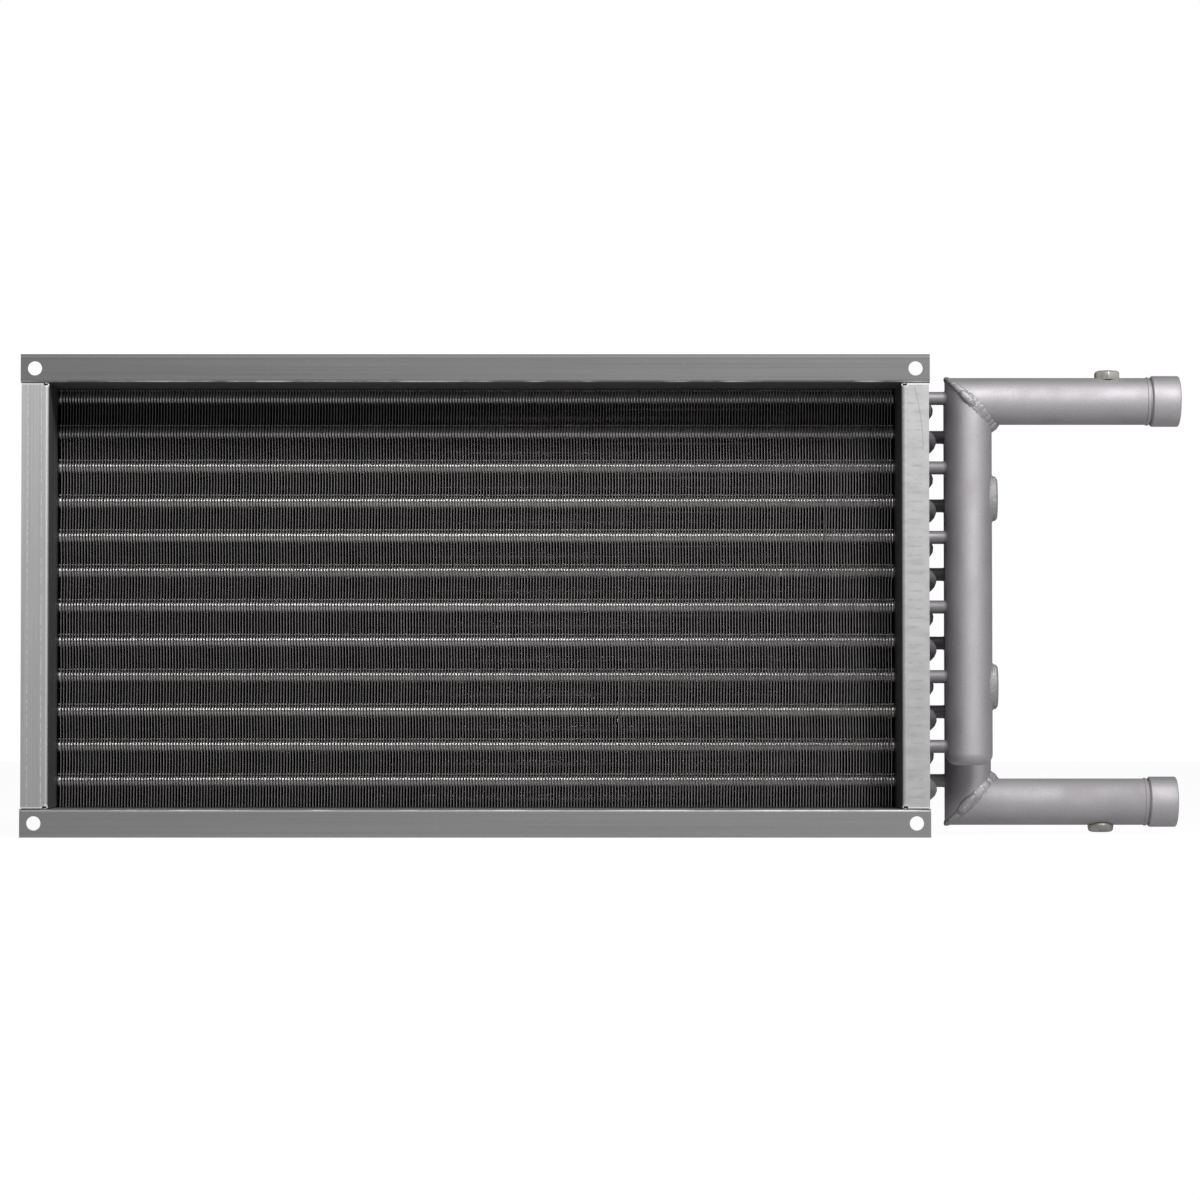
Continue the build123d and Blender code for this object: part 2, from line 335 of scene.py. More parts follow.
def panelZinc():
    level = casing["panelLevel"]
    material, paint, colour = zincGround("panel_zinc", level, (3, 60, 900), 5)
    z = paint.axis("Z")
    fromEdge = casing["flangeEdge"] - abs(z)
    scratch = paint.ramp(paint.noise(1.0, 2.0, (9, 40, 2600)), 0.66, 0.74, 0.0, 0.45)
    patchy = paint.ramp(paint.noise(30.0, 3.0), 0.42, 0.6)
    # the same distance also lies on the web, so the depth keeps the glint at the front fold
    glint = within(fromEdge, casing["foldHighlight"]) * patchy * (paint.axis("Y") < 1.0)
    # painted highlight and shade: a pale line, then a dark line, along the flange's rounded outer edge, and a
    # painted highlight glinting along the front fold
    colour = paint.mix(within(fromEdge, casing["paleLine"]) * 0.4, colour, grey(level + 30))
    colour = paint.mix(within(fromEdge, casing["darkLine"]) * 0.35, colour, grey(level - 26))
    colour = paint.mix(scratch, colour, grey(level + 34))
    colour = paint.mix(glint, colour, grey(235))
    colour = paint.mix((z < 0) * 0.6, colour, grey(level + 30))  # painted light: the bottom panel is painted paler than the top one
    paint.feed("Base Color", colour)
    return material


def sideZinc(name, level, stretch, spread, side):
    material, paint, colour = zincGround(name, level, stretch, spread)
    x, y, z = paint.axis("X"), paint.axis("Y"), paint.axis("Z")
    across, upright = abs(x), abs(z)
    flange, behind = y < casing["flangeBack"], y > casing["flangeBack"]
    worn = paint.noise(260.0, 2.0)
    if side < 0:  # two bright lines left by the folding rolls, and painted shade darkening the sheet towards the bottom
        lower = paint.ramp(z, -casing["halfHeight"], casing["halfHeight"], 0.75, 0.0)
        colour = paint.mix(lower, colour, grey(level - 26))
        for line in casing["rollLines"]:
            mark = (abs(x - line) < casing["rollLineHalf"]) * flange
            colour = paint.mix(mark * paint.ramp(worn, 0.42, 0.6, 0.1, 0.6), colour, grey(238))
    else:  # faint smears, a hairline scratch and a few dark pin pricks by the fold
        rung = abs((z % casing["smearPitch"]) / casing["smearPitch"] - 0.5)
        patchy = paint.ramp(paint.noise(70.0, 2.0, (3, 1, 1.6)), 0.4, 0.6)
        smear = paint.ramp(rung, 0.0, 0.16, 1.0, 0.0) * patchy * within(x, casing["smears"])
        colour = paint.mix(smear, colour, grey(level - 19))
        line = casing["hairline"]
        along = paint.ramp(z, line["top"], line["top"] - line["fall"])
        bow = line["x"] + line["reach"] * (1 - (1 - along) * (1 - along))
        hair = (abs(x - bow) < line["half"]) * within(along, (0.01, 0.99)) * flange
        colour = paint.mix(hair * 0.45, colour, grey(level - 60))
        pricks = (worn > 0.7) * within(x, casing["pricks"]) * flange
        colour = paint.mix(pricks * 0.7, colour, grey(90))
    # painted highlights on the cut end, the notch's rim and the fold, and painted shade on the sheet behind
    # the flange, on its inner and outer faces
    cutEnd = paint.ramp(upright, *casing["cutEnd"]) * flange
    fold = paint.ramp(across, *casing["fold"]) * (y < casing["foldBack"])
    notch = casing["notch"]
    aside = (across - notch["x"]) / notch["halfWide"]
    above = (upright - notch["z"]) / notch["halfHigh"]
    fromNotch = aside * aside + above * above  # 1 at the edge of the relief notch
    rim = (fromNotch < notch["rim"]) * flange * paint.ramp(across, *notch["fade"], 1.0, 0.2)
    colour = paint.mix(cutEnd * 0.85, colour, grey(250))
    colour = paint.mix(rim, colour, grey(252))
    colour = paint.mix(fold * 0.55, colour, grey(240))
    colour = paint.mix((across < casing["innerFace"]) * behind * 0.9, colour, grey(casing["insideShadeLevel"]))
    colour = paint.mix((across > casing["outerFace"]) * behind * 0.65, colour, grey(casing["outsideShadeLevel"]))
    paint.feed("Base Color", colour)
    return material


panelFinish = panelZinc()
leftFinish = sideZinc("left_sheet_zinc", casing["leftLevel"], (900, 60, 3), 10, -1)
rightFinish = sideZinc("right_sheet_zinc", casing["rightLevel"], (60, 60, 160), 6, 1)
for nodeName, material in (("top_panel", panelFinish), ("bottom_panel", panelFinish),
                           ("left_end_sheet", leftFinish), ("right_end_sheet", rightFinish)):
    sheet = frame["nodes"][nodeName]
    sheet.data.materials.clear()
    sheet.data.materials.append(material)
print("casing finished")

# dark pieces in the relief notches at the corners of the side flanges: painted shade where only the dark
# inside shows, rimmed with a painted highlight

notchShade = {
    "from": 300.3, "to": 304.0, "low": 147.3, "high": 149.7, "front": 1.2, "back": 3.4, "sides": 12,
    "round": 0.3, "bulge": 1.15, "tail": 0.4, "tailSize": 0.8, "hookAbove": 149.5, "hookInside": 300.9,
}


def notchShadePieces():
    material, paint = newPaint("notch_shade_paint", Roughness=0.75)
    # painted highlight: the sheet's bright cut edge hooks round its outer and inner side
    outer = abs(paint.axis("Z")) > notchShade["hookAbove"]
    inner = abs(paint.axis("X")) < notchShade["hookInside"]
    # painted shade: near black, where only the dark inside of the casing shows through the notch
    dark = paint.mix(paint.noise(800.0), grey(8), grey(20))
    paint.feed("Base Color", paint.mix(outer + inner > 0.5, dark, grey(250)))
    paint.bump(paint.noise(500.0), 0.4, 0.2)
    piece = None
    wide, tall = notchShade["to"] - notchShade["from"], notchShade["high"] - notchShade["low"]
    deep, bulge = notchShade["back"] - notchShade["front"], notchShade["bulge"]
    profile = (  # these radii are shares of the first ring's
        (0, 1.0), (notchShade["round"], bulge), (deep - notchShade["tail"], bulge), (deep, notchShade["tailSize"]))
    for side in (-1, 1):
        for end in (-1, 1):
            for face, inward in ((notchShade["front"], 1), (casing["depth"] - notchShade["front"], -1)):
                start = (side * (notchShade["from"] + wide / 2), face, end * (notchShade["low"] + tall / 2))
                facing = (0, inward, 0)
                piece = ringOn(piece, "corner_notch_shade_pieces", tall / 2, start, facing, notchShade["sides"])
                bpy.ops.transform.resize(value=(wide / tall, 1, 1), center_override=metres(start))
                turnProfile(start, facing, profile)
    finishPiece(piece, material, smooth=50)


notchShadePieces()
print("sealant made")

# fins: corrugated sheets, in three pieces

finSheets = {
    "pitch": 2.1, "thick": 0.3, "height": 299.0, "rises": 9, "first": -297.2,
    # depth and sideways sway of each upright line: no light passes straight through
    "course": ((52.5, 0.0), (55.6, 0.62), (84.0, 0.8), (99.0, 2.4), (117.5, 0.7)),
    "pieces": (("fins_left", 95), ("fins_middle", 94), ("fins_right", 95)),
    # each sheet's random shift and lean, its waves, and the splay of the front edges about one place
    "wander": 0.035, "lean": 0.03, "sway": 0.22, "splay": 0.001, "splayMiddle": 35.0, "splayDepth": 53.5,
    "bent": {260: (3, 0.6), 245: (4, -0.5), 190: (7, 0.5)},  # fin: rise from the top, and push
    "shadeSetsIn": ((55.6, 57.0), (116.8, 113.5)),  # depths at which the painted shade sets in, from the front and from the rear
}


def finNumber(paint):
    # each fin's own random number, from its place along the row
    place = paint.axis("X") / finSheets["pitch"] - (finSheets["first"] / finSheets["pitch"] - 0.5)
    return paint.node("ShaderNodeTexWhiteNoise", {"noise_dimensions": "1D"}, {"W": place.maths("FLOOR")})


def fromFin(paint):
    # 0 at a fin, 0.5 halfway between two
    place = (paint.axis("X") - finSheets["first"]) / finSheets["pitch"]
    return 0.5 - abs(place % 1.0 - 0.5)


def finFoil():
    # painted shade: set far darker than the cut edges near the faces of the block, and near black inside it,
    # standing in for the shade between the fins
    material, paint = newPaint("fin_foil", Metallic=0.3, Roughness=0.5)
    y = paint.axis("Y")
    front, rear = finSheets["shadeSetsIn"]
    inside = paint.ramp(y, *front) * paint.ramp(y, *rear)
    band = paint.noise(1.0, 2.0, (40, 1, 160))
    bright = paint.mix(paint.ramp(finNumber(paint) * 0.4 + band, 0.4, 1.1), grey(72, 3, 0), grey(90, 3, 0))
    paint.feed("Base Color", paint.mix(inside, bright, grey(12, 1)))
    return material


def finEdge():
    # painted highlight: the cut edges are set far lighter than the foil, standing in for the light they catch
    material, paint = newPaint("fin_cut_edge", Metallic=0.3, Roughness=0.45)
    band = paint.noise(1.0, 3.0, (30, 1, 220))
    level = paint.ramp(finNumber(paint) * 0.3 + band, 0.35, 0.95)
    paint.feed("Base Color", paint.mix(level, grey(152, 4, 0), grey(182, 4, 0)))
    return material


def collarMetal():
    # each sleeve is bright in the middle, with painted shade darkening its root where it flares into its fin
    material, paint = newPaint("collar_metal", Metallic=0.85, Roughness=0.33)
    own = paint.mix(finNumber(paint), grey(236, 5, -2), grey(250, 5, -2))
    paint.feed("Base Color", paint.mix(paint.ramp(fromFin(paint), 0.08, 0.22), grey(40), own))
    return material


def lipHighlight():
    # the rolled upper edge of each sleeve, its near-white colour a painted highlight, with painted shade at
    # each fin
    material, paint = newPaint("collar_lip_highlight", Metallic=0.4, Roughness=0.35)
    own = paint.mix(finNumber(paint), grey(236), grey(252))
    paint.feed("Base Color", paint.mix(paint.ramp(fromFin(paint), 0.1, 0.25), grey(40), own))
    return material


foil = finFoil()
foilEdge = finEdge()
collar = collarMetal()
collarLip = lipHighlight()


def finPiece(name, firstX, count, firstNumber):
    course, rises = finSheets["course"], finSheets["rises"]
    clearSelection()
    bpy.ops.mesh.primitive_grid_add(
        x_subdivisions=rises, y_subdivisions=len(course) - 1, size=1,
        location=metres((firstX, 0.5, 0)), rotation=(0, math.radians(90), 0))
    piece = bpy.context.object
    piece.name = name
    piece.scale = metres((finSheets["height"], 1, 1))
    bpy.ops.object.transform_apply(location=True, rotation=True, scale=True)
    bpy.ops.object.mode_set(mode="EDIT")
    for number, (depth, sway) in enumerate(course):
        line = number / (len(course) - 1)
        pickWhere(piece, "corners", lambda spot: abs(spot.y - line) < 0.01)
        bpy.ops.transform.translate(value=metres((sway, depth - line, 0)))
    bpy.ops.object.mode_set(mode="OBJECT")
    piece.data.materials.append(foil)
    piece.data.materials.append(foilEdge)
    wall = piece.modifiers.new("wall", "SOLIDIFY")
    wall.thickness = finSheets["thick"] * mm
    wall.offset = 0
    wall.material_offset_rim = 1
    row = piece.modifiers.new("row", "ARRAY")
    row.use_relative_offset = False
    row.use_constant_offset = True
    row.constant_offset_displace = (finSheets["pitch"] * mm, 0, 0)
    row.count = count
    bpy.ops.object.modifier_apply(modifier="wall")
    perFin = len(piece.data.vertices)
    bpy.ops.object.modifier_apply(modifier="row")
    for number in range(count):  # no two sheets hang quite alike
        wander = random.uniform(-1, 1) * finSheets["wander"] * mm
        lean = [random.uniform(-1, 1) * finSheets["lean"] * mm for _ in range(rises + 1)]
        for rise in range(rises + 1):
            lean[rise] += finSheets["sway"] * mm * (1 if rise % 2 else -1)
        if firstNumber + number in finSheets["bent"]:
            rise, push = finSheets["bent"][firstNumber + number]
            lean[rises - rise] += push * mm
        for index in range(number * perFin, (number + 1) * perFin):
            corner = piece.data.vertices[index].co
            rise = round((corner.z / mm / finSheets["height"] + 0.5) * rises)
            corner.x += wander + lean[rise]
            if corner.y / mm < finSheets["splayDepth"]:
                fromMiddle = firstX + number * finSheets["pitch"] - finSheets["splayMiddle"]
                corner.x -= fromMiddle * finSheets["splay"] * mm
    finishPiece(piece, None, ("fin_pack",), smooth=45)


made = 0
for name, count in finSheets["pieces"]:
    finPiece(name, finSheets["first"] + made * finSheets["pitch"], count, made)
    made += count
print("fins made")

# fin collars: the bright sleeves that the sheets' punched holes make along each tube, with their upper lips

sleeve = {
    "radius": 5.05, "reach": 299.5, "sides": 24,
    "lips": {"front": (58.9, 5.2), "middle": (80.4, 4.5)},  # depth, and rise above the tube's centre
    "lipRadius": 0.5, "lipSides": 8,
}


def sleeveRow(name, radius, sides, depth, height, material, smooth):
    # one long sleeve through the whole block, copied down the row
    piece = startRing(name, radius, (-sleeve["reach"], depth, height), (1, 0, 0), sides)
    pull(2 * sleeve["reach"], 0, 0)
    copyAlong((0, 0, -bank["pitch"]), bank["perRow"] - 1)
    finishPiece(piece, material, ("fin_pack",), smooth=smooth)


for row, depth, top in bank["rows"]:
    sleeveRow("fin_collars_" + row, sleeve["radius"], sleeve["sides"], depth, top, collar, 40)
    if row in sleeve["lips"]:
        lipDepth, rise = sleeve["lips"][row]
        sleeveRow("collar_lips_" + row, sleeve["lipRadius"], sleeve["lipSides"], lipDepth, top + rise,
                  collarLip, 60)
print("collars made")


# paint over the pipework

def silverPaint(name, level, metallic=0.5, roughness=0.55, grainHeight=0.12, spots=0.0):
    # aluminium paint: fine grain, faint clouds, slight orange peel, and pale spots where it is rough
    material, paint = newPaint(name, Metallic=metallic)
    grain = paint.noise(1500.0, 1.0)
    cloud = paint.noise(30.0, 3.0)
    colour = paint.mix(paint.ramp(grain, 0.3, 0.7), grey(level - 8, 3, 3), grey(level + 8, 3, 4))
    colour = paint.mix(paint.ramp(cloud, 0.4, 0.75, 0.0, 0.5), colour, grey(level - 12, 4, 3))
    if spots:
        spot = paint.ramp(paint.noise(700.0, 2.0), 0.58, 0.7, 0.0, spots)
        colour = paint.mix(spot, colour, grey(min(level + 60, 252)))
    paint.feed("Base Color", colour)
    paint.feed("Roughness", paint.ramp(cloud, 0.3, 0.7, roughness - 0.05, roughness + 0.08))
    paint.bump(grain * 0.5 + cloud, 0.25, grainHeight)
    return material


headerSilver = silverPaint("header_silver_paint", 195, metallic=0.92, roughness=0.64)
upperSilver = silverPaint("upper_nozzle_paint", 190, metallic=0.85, roughness=0.7)
lowerSilver = silverPaint("lower_nozzle_paint", 189, metallic=0.8, roughness=0.76)
blankSilver = silverPaint("blank_silver_paint", 156, roughness=0.6, grainHeight=1.8, spots=0.5)
coilSilver = silverPaint("coil_silver_paint", 152, metallic=0.6, roughness=0.6)
capSilver = silverPaint("cap_silver_paint", 194, metallic=0.8, roughness=0.66)
weldSilver = silverPaint("weld_silver_paint", 170, roughness=0.55, grainHeight=1.8, spots=0.75)
print("paints mixed")

# hairpins: one bent tube a pair of holes

hairpin = {"sides": 16, "bendSteps": 14}

for row, depth, top in bank["rows"]:
    start = (bank["jointFace"], depth, top)
    run = bank["jointFace"] - bank["hairpinCentre"]
    piece = startRing("hairpin_tubes_" + row, bank["tubeRadius"], start, (-1, 0, 0), hairpin["sides"])
    pull(-run, 0, 0)
    spinAbout((bank["hairpinCentre"], depth, top - bank["bendRadius"]), (0, 1, 0), 180, hairpin["bendSteps"])
    pull(run, 0, 0)
    copyAlong((0, 0, -2 * bank["pitch"]), bank["perRow"] // 2 - 1)
    finishPiece(piece, coilSilver, ("hairpins_" + row + "_row",))
print("hairpins made")

# the end sheets' holes have drawn rims that close round the tubes

holeRim = {"sides": 20, "profile": ((0, 6.3), (0.5, 6.1), (1.3, 5.4), (1.3, 4.5))}

for side, name, finish in ((-1, "left_hole_rims", leftFinish), (1, "right_hole_rims", rightFinish)):
    piece = None
    for row, depth, top in bank["rows"]:
        start = (side * bank["sheetFace"], depth, top)
        piece = ringOn(piece, name, holeRim["profile"][0][1], start, (side, 0, 0), holeRim["sides"])
        turnProfile(start, (side, 0, 0), holeRim["profile"])
        copyAlong((0, 0, -bank["pitch"]), bank["perRow"] - 1)
    finishPiece(piece, finish)
print("hole rims made")

# return bends: belled sockets brazed over the tube ends

returnBend = {"sides": 16, "bendSteps": 12, "taper": 1.4}


def bendPair(piece, name, first, second):
    # first and second are the two tube centres at the joint face
    first, second = Vector(first), Vector(second)
    middle = (first + second) / 2
    across = (second - first).normalized()
    turnAxis = across.cross(Vector((1, 0, 0)))
    back = bank["jointFace"] - bank["overlap"]
    bell, radius = bank["bell"], bank["tubeRadius"]
    length = bank["bendCentre"] - back
    bellEnd = bank["bellLength"]
    neck = bellEnd + returnBend["taper"]
    place = (back, first.y, first.z)
    piece = ringOn(piece, name, bell, place, (1, 0, 0), returnBend["sides"])
    turnProfile(place, (1, 0, 0), ((0, bell), (bellEnd, bell), (neck, radius), (length, radius)))
    spinAbout((bank["bendCentre"], middle.y, middle.z), turnAxis, 180, returnBend["bendSteps"])
    turnProfile((bank["bendCentre"], second.y, second.z), (-1, 0, 0),
                ((0, radius), (length - neck, radius), (length - bellEnd, bell), (length, bell)))
    return piece


def returnBends(name, node, firstRow, secondRow, firstTube):
    piece = None
    for tube in range(firstTube, bank["perRow"], 2):
        ends = [(bank["jointFace"], depth, top - bank["pitch"] * tube)
                for _, depth, top in (bank["rows"][firstRow], bank["rows"][secondRow])]
        piece = bendPair(piece, name, *ends)
    finishPiece(piece, coilSilver, (node,))


returnBends("return_bend_set_front", "return_bends_front", 0, 1, 1)
returnBends("return_bend_set_rear", "return_bends_rear", 1, 2, 0)
print("return bends made")

# stubs from the tube ends to the headers, with a small braze fillet at the pipe

stub = {
    "sides": 20, "taper": 1.2, "frontTop": 143.75, "rearTop": 118.75,
    "foot": ((-2.0, 0.0), (-0.6, 0.32), (0.0, 0.8), (1.6, 1.0)),  # distance past the pipe's side, and braze
}


def stubSet(name, node, depth, top, headerX):
    back = bank["jointFace"] - bank["overlap"]
    radius, bell, bellEnd = bank["tubeRadius"], bank["bell"], bank["bellLength"]
    # how far on the tube meets the pipe's side
    face = headerX - math.sqrt(pipe["radius"] ** 2 - radius ** 2) - back
    profile = [(0, bell), (bellEnd, bell), (bellEnd + stub["taper"], radius)]
    profile += [(face + past, radius + braze) for past, braze in stub["foot"]]
    start = (back, depth, top)
    piece = startRing(name, bell, start, (1, 0, 0), stub["sides"])
    turnProfile(start, (1, 0, 0), profile)
    copyAlong((0, 0, -2 * bank["pitch"]), bank["perRow"] // 2 - 1)
    finishPiece(piece, coilSilver, (node,))


stubSet("stub_tubes_front", "stubs_front", pipe["frontY"], stub["frontTop"], pipe["frontX"])
stubSet("stub_tubes_rear", "stubs_rear", pipe["rearY"], stub["rearTop"], pipe["rearX"])
print("stubs made")

# headers and nozzles, mitred at their corners

nozzle = {
    "cap": 20.0, "sunk": 2.0, "inCap": 15.4, "leadIn": 1.0, "groove": 15.6, "grooveWide": 1.5,
    "ring": 17.35, "ringWide": 2.2, "ringRise": 0.3, "ringFall": 0.4, "over": 40.0,
}
upperCorner = (pipe["frontX"], pipe["frontY"], pipe["upperZ"])
lowerCorner = (pipe["rearX"], pipe["rearY"], pipe["lowerZ"])
frontEnd = (pipe["frontX"], pipe["frontY"], pipe["frontTip"] + pipe["endHeight"])
rearEnd = (pipe["rearX"], pipe["rearY"], pipe["rearTip"] - pipe["endHeight"])


def cutMitre(piece, node, corner, keepSide, finish):
    bpy.ops.mesh.select_all(action="SELECT")
    bpy.ops.mesh.bisect(plane_co=metres(corner), plane_no=keepSide, use_fill=True, clear_inner=True)
    finishPiece(piece, finish, (node,), smooth=30)


def headerPipe(name, node, start, rise, corner, keepSide):
    piece = startRing(name, pipe["radius"], start, (0, 0, rise), pipe["sides"])
    pull(0, 0, corner[2] - start[2] + rise * nozzle["over"])
    cutMitre(piece, node, corner, keepSide, headerSilver)


def nozzlePipe(name, node, face, corner, keepSide, finish):
    # from inside the cap: thread, groove beside the cap, low ring, then the plain pipe
    start = (face - nozzle["sunk"], corner[1], corner[2])
    groove, ring, radius = nozzle["groove"], nozzle["ring"], pipe["radius"]
    grooveEnd = nozzle["cap"] - nozzle["sunk"] + nozzle["grooveWide"]
    ringEnd = grooveEnd + nozzle["ringWide"]
    ringRise, ringFall = nozzle["ringRise"], nozzle["ringFall"]
    piece = startRing(name, nozzle["inCap"], start, (-1, 0, 0), pipe["sides"])
    turnProfile(start, (-1, 0, 0), (
        (0, nozzle["inCap"]), (nozzle["leadIn"], groove), (grooveEnd, groove), (grooveEnd, ring - ringRise),
        (grooveEnd + ringRise, ring), (ringEnd - ringFall, ring), (ringEnd, radius),
        (start[0] - corner[0] + nozzle["over"], radius)))
    cutMitre(piece, node, corner, keepSide, finish)


def roundedEnd(name, node, start, fall):
    radius, height, rounding = pipe["radius"], pipe["endHeight"], pipe["endRounding"]
    profile = [(0, radius)]
    for step in range(1, pipe["endSteps"] + 1):
        angle = math.radians(90) * step / pipe["endSteps"]
        profile.append((height * math.sin(angle), radius - rounding * (1 - math.cos(angle))))
    piece = startRing(name, radius, start, (0, 0, fall), pipe["sides"])
    turnProfile(start, (0, 0, fall), profile)
    finishPiece(piece, headerSilver, (node,), smooth=50)


headerPipe("front_header_pipe", "front_header", frontEnd, 1, upperCorner, (-1, 0, -1))
headerPipe("rear_header_pipe", "rear_header", rearEnd, -1, lowerCorner, (-1, 0, 1))
nozzlePipe("upper_nozzle_pipe", "upper_nozzle", pipe["upperFace"], upperCorner, (1, 0, 1), upperSilver)
nozzlePipe("lower_nozzle_pipe", "lower_nozzle", pipe["lowerFace"], lowerCorner, (1, 0, -1), lowerSilver)
roundedEnd("front_header_dome", "front_header_end", frontEnd, -1)
roundedEnd("rear_header_dome", "rear_header_end", rearEnd, 1)
print("headers and nozzles made")

# weld beads round the mitres: narrow at the outer corner, wide, rippled and filled at the inner one

bead = {
    "segments": 128, "sides": 12, "proud": 1.0, "inward": 0.8, "sunk": 0.4,
    # at the outer corner, halfway round and at the inner corner
    "halfWidth": (1.6, 4.0, 6.2), "height": (1.2, 1.25, 1.5),
    "web": 3.2, "webFrom": 0.95,  # the fill at the inner corner, and the share of the way at which it starts
    "ripple": 0.16, "rippleLeast": 0.3, "wave": 0.08, "waveTurn": 1.3,
    "lump": {"upper": (7.6, 2.6, 3.5), "lower": (9.2, 2.6, 4.3), "along": -2.0, "across": -0.6, "sunk": 0.6},
    "lumpSides": (24, 12), "tip": (2.6, 4.16, 2.6), "tipFromEnd": 2.8, "tipSides": (16, 10),
}


def between(values, share):
    # reads three values as a line with a corner halfway
    first, middle, last = values
    if share < 0.5:
        return first + (middle - first) * share * 2
    return middle + (last - middle) * (share * 2 - 1)


def addBall(sides, place, size):
    # one lump of weld in the open bead, left picked
    bpy.ops.mesh.select_all(action="DESELECT")
    bpy.ops.mesh.primitive_uv_sphere_add(
        segments=sides[0], ring_count=sides[1], radius=mm, location=metres(place))
    bpy.ops.transform.resize(value=size, center_override=metres(place))


def weldBead(which, corner, slope):
    clearSelection()
    inward = Vector((1, 0, slope)).normalized()
    outward = Vector((1, 0, -slope)).normalized()
    place = Vector(corner) + inward * bead["inward"]
    major = pipe["radius"] - bead["sunk"]
    bpy.ops.mesh.primitive_torus_add(
        major_segments=bead["segments"], minor_segments=bead["sides"],
        major_radius=major * mm, minor_radius=bead["proud"] * mm, location=metres(place))
    piece = bpy.context.object
    piece.name = which + "_weld_bead"
    bpy.ops.object.transform_apply(location=True, rotation=True, scale=True)
    bpy.ops.object.mode_set(mode="EDIT")
    step = 2 * math.pi / bead["segments"]
    for number in range(bead["segments"]):  # each ring of the bead gets its own width, height and ripple
        angle = number * step
        share = (1 + math.cos(angle)) / 2
        ripple = 1 + random.uniform(-1, 1) * bead["ripple"] * (bead["rippleLeast"] + share)
        ripple += bead["wave"] * math.sin(number * bead["waveTurn"]) * share
        wide = between(bead["halfWidth"], share) / bead["proud"] * ripple
        high = between(bead["height"], share) * ripple
        if share > bead["webFrom"]:
            high += (bead["web"] - high) * (share - bead["webFrom"]) / (1 - bead["webFrom"])
        centre = place + Vector((math.cos(angle), math.sin(angle), 0)) * major

        def inRing(spot):
            turn = math.atan2(spot.y - place.y, spot.x - place.x) - angle
            return abs((turn + math.pi) % (2 * math.pi) - math.pi) < step / 4

        pickWhere(piece, "corners", inRing)
        bpy.ops.transform.resize(value=(high, high, wide), center_override=metres(centre))
    bpy.ops.mesh.select_all(action="SELECT")
    bpy.ops.transform.resize(value=(math.sqrt(2), 1, 1), center_override=metres(place))
    turn = math.radians(45) * slope
    bpy.ops.transform.rotate(value=turn, orient_axis="Y", center_override=metres(place))
    # the lens-shaped lump where one run of weld met the next, at the front
    lump = bead["lump"]
    front = Vector((0, lump["sunk"] - pipe["radius"], 0))
    spot = Vector(corner) + inward * lump["along"] + outward * lump["across"] + front
    addBall(bead["lumpSides"], spot, lump[which])
    bpy.ops.transform.rotate(value=turn, orient_axis="Y", center_override=metres(spot))
    # the round drop at the outer corner, where the last run ended
    outerEnd = pipe["radius"] * math.sqrt(2) - bead["tipFromEnd"]
    addBall(bead["tipSides"], Vector(corner) - inward * outerEnd, bead["tip"])
    bpy.ops.object.mode_set(mode="OBJECT")
    finishPiece(piece, weldSilver, (which + "_corner_weld",), smooth=70)


weldBead("upper", upperCorner, -1)
weldBead("lower", lowerCorner, 1)
print("welds made")

# blanked ports on the front header: chamfered plates set on the pipe, welded round their foot

blank = {
    "sides": 40, "sink": 2.4, "chamfer": 1.3, "chamferIn": 1.7, "rimWide": 4.0, "dishFrom": 5.0, "dish": 0.3,
    "weldSegments": 72, "weldSides": 8, "weldRadius": 0.9, "weldIn": 0.3, "weldRough": 0.15,
}


def portBlank(name, node):
    low, high = [Vector(corner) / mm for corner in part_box(node)]
    middle = (low + high) / 2
    halfY, halfZ = (high.y - low.y) / 2, (high.z - low.z) / 2
    surface = pipe["frontX"] + pipe["radius"]
    start = (surface - blank["sink"], middle.y, middle.z)
    clearSelection()
    bpy.ops.mesh.primitive_circle_add(vertices=blank["sides"], radius=halfZ * mm, fill_type="NGON",
                                      location=metres(start), rotation=(0, math.radians(90), 0))
    piece = bpy.context.object
    piece.name = name
    bpy.ops.object.transform_apply(location=True, rotation=True, scale=True)
    bpy.ops.object.mode_set(mode="EDIT")
    bpy.ops.mesh.select_all(action="SELECT")
    bpy.ops.transform.resize(value=(1, halfY / halfZ, 1), center_override=metres(start))
    top = high.x - start[0]
    turnProfile(start, (1, 0, 0), (
        (0, halfZ), (top - blank["chamfer"], halfZ), (top, halfZ - blank["chamferIn"]),
        (top, halfZ - blank["rimWide"]), (top - blank["dish"], halfZ - blank["dishFrom"])))
    # the weld round the foot follows the pipe's curve
    foot = metres((surface, middle.y, middle.z))
    bpy.ops.mesh.select_all(action="DESELECT")
    bpy.ops.mesh.primitive_torus_add(
        major_segments=blank["weldSegments"], minor_segments=blank["weldSides"], major_radius=halfZ * mm,
        minor_radius=blank["weldRadius"] * mm, location=foot, rotation=(0, math.radians(90), 0))
    bpy.ops.transform.resize(value=(1, (halfY - blank["weldIn"]) / halfZ, 1), center_override=foot)
    mesh = bmesh.from_edit_mesh(piece.data)
    for corner in mesh.verts:
        if corner.select:
            aside = min(abs(corner.co.y / mm - pipe["frontY"]), pipe["radius"])
            corner.co.x -= (pipe["radius"] - math.sqrt(pipe["radius"] ** 2 - aside ** 2)) * mm
            corner.co.x += random.uniform(-blank["weldRough"], blank["weldRough"]) * mm
    bmesh.update_edit_mesh(piece.data)
    bpy.ops.object.mode_set(mode="OBJECT")
    finishPiece(piece, blankSilver, (node,), smooth=35)


portBlank("upper_blank_plate", "upper_port_blank")
portBlank("lower_blank_plate", "lower_port_blank")
print("blanked ports made")

# thread caps over the nozzle ends

cap = {
    "radius": 18.25, "bore": 15.5, "edge": 0.8,
    "faceEdge": 0.3, "faceRing": 14.0, "faceFlat": 13.4, "faceSink": 0.6,
    "slitFrom": 6.5, "slitLong": 5.6, "slitDeep": 0.7, "slitBorder": 0.1, "slitUp": 0.995,
}


